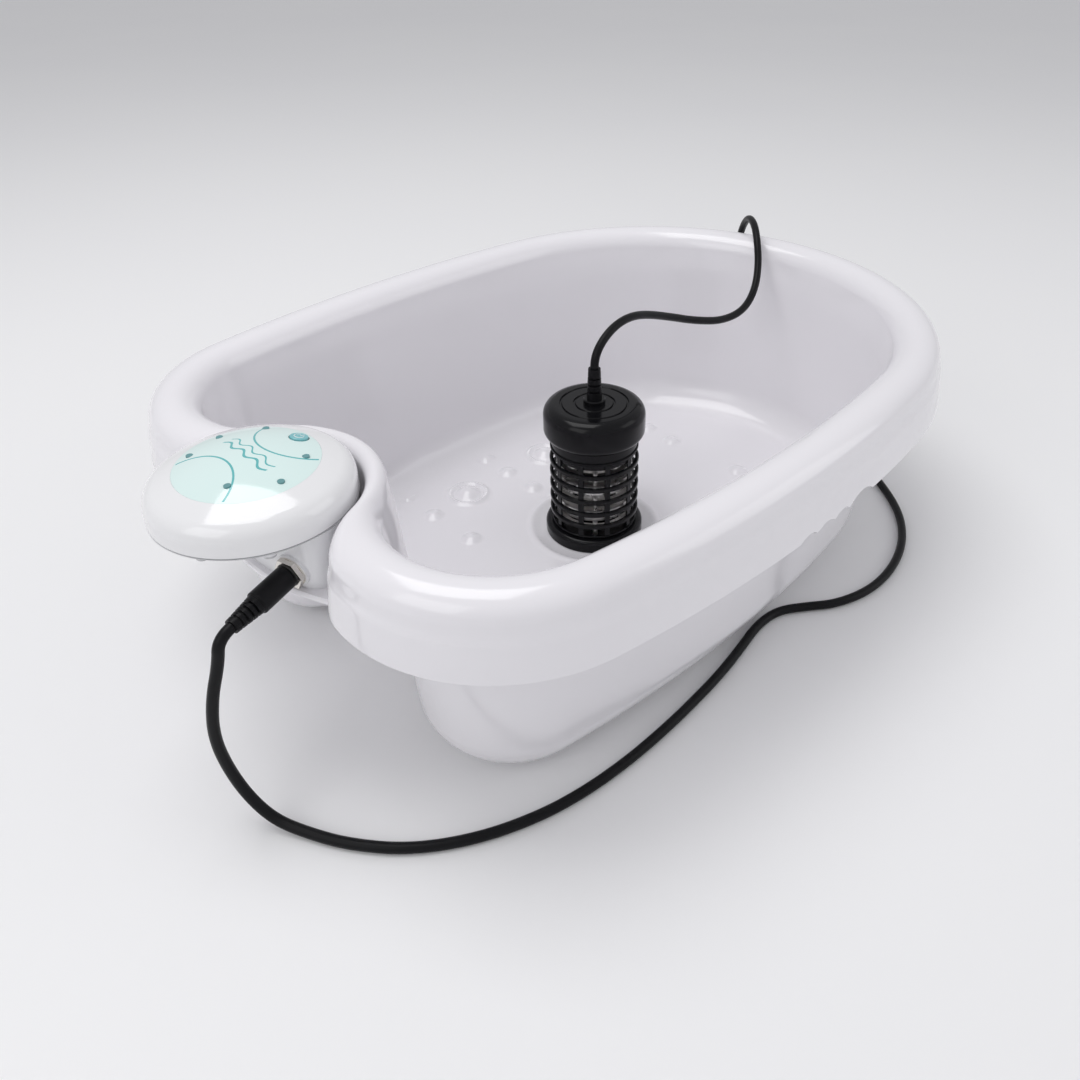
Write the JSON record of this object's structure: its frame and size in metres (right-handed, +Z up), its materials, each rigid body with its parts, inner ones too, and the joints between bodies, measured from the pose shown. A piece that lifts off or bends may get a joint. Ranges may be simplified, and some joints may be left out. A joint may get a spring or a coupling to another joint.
{
  "type": "foot spa basin",
  "caption": "Foot spa basin with rolled rim, massage floor, clip-on round controller and a lift-out ion array on a cord",
  "frame": {"origin": "middle of the basin and controller in plan, at the floor that the feet stand on", "axes": "+Z up, +X along the basin from the controller end to the far end, +Y across it"},
  "size_m": [0.4924, 0.3374, 0.153],
  "materials": {
    "tub_plastic": "gloss moulded",
    "foot_rubber": "matt",
    "housing_plastic": "gloss moulded",
    "seal_rubber": "matt",
    "panel_film": "gloss film",
    "button_plastic": "gloss",
    "lens_plastic": "gloss",
    "board": "solder mask",
    "black_plastic": "satin",
    "led": "clear",
    "core_steel": "laminated",
    "can": "satin",
    "steel": "polished",
    "cord_rubber": "satin",
    "array_plastic": "gloss moulded",
    "stainless": "brushed"
  },
  "bodies": {
    "basin": {"basin_tub": "tub_plastic", "rubber_feet": "foot_rubber", "controller_base": "housing_plastic", "controller_cover": "housing_plastic", "cover_seal": "seal_rubber", "panel_overlay": "panel_film", "indicator_lenses": "lens_plastic", "circuit_board": "board", "board_posts": "housing_plastic", "power_board": "board", "tact_switch": "black_plastic", "indicator_leds": "led", "transformer": "core_steel", "relay": "black_plastic", "capacitors": "can", "array_jack": "black_plastic", "power_jack": "black_plastic", "jack_nuts": "steel", "jack_washers": "steel", "cover_screws": "steel", "mounting_screws": "steel", "array_cord_upper": "cord_rubber", "array_cord_lower": "cord_rubber"},
    "array": {"array_base": "array_plastic", "array_cage": "array_plastic", "array_cap": "array_plastic", "array_top_plate": "array_plastic", "core_post": "array_plastic", "electrode_spacers": "array_plastic", "inner_electrode": "stainless", "outer_electrode": "stainless", "tie_rods": "stainless", "array_seal": "cord_rubber", "strain_relief": "cord_rubber"},
    "button": {"power_button": "button_plastic"},
    "plug": {"plug_tip": "steel", "plug_barrel": "steel", "plug_body": "cord_rubber", "plug_boot": "cord_rubber"}
  },
  "joints": [
    {"name": "array_lift", "type": "slide", "parent": "basin", "child": "array", "axis": [0, 0, 1], "range_m": [0, 0.15], "deforming": ["array_cord_upper"]},
    {"name": "button_press", "type": "slide", "parent": "basin", "child": "button", "axis": [-0.2687, 0, -0.9632], "range_m": [0, 0.0005], "stiffness_N_per_m": 400},
    {"name": "plug_pull", "type": "slide", "parent": "basin", "child": "plug", "axis": [-0.9614, -0.2468, -0.1219], "range_m": [0, 0.012], "deforming": ["array_cord_lower"]}
  ]
}
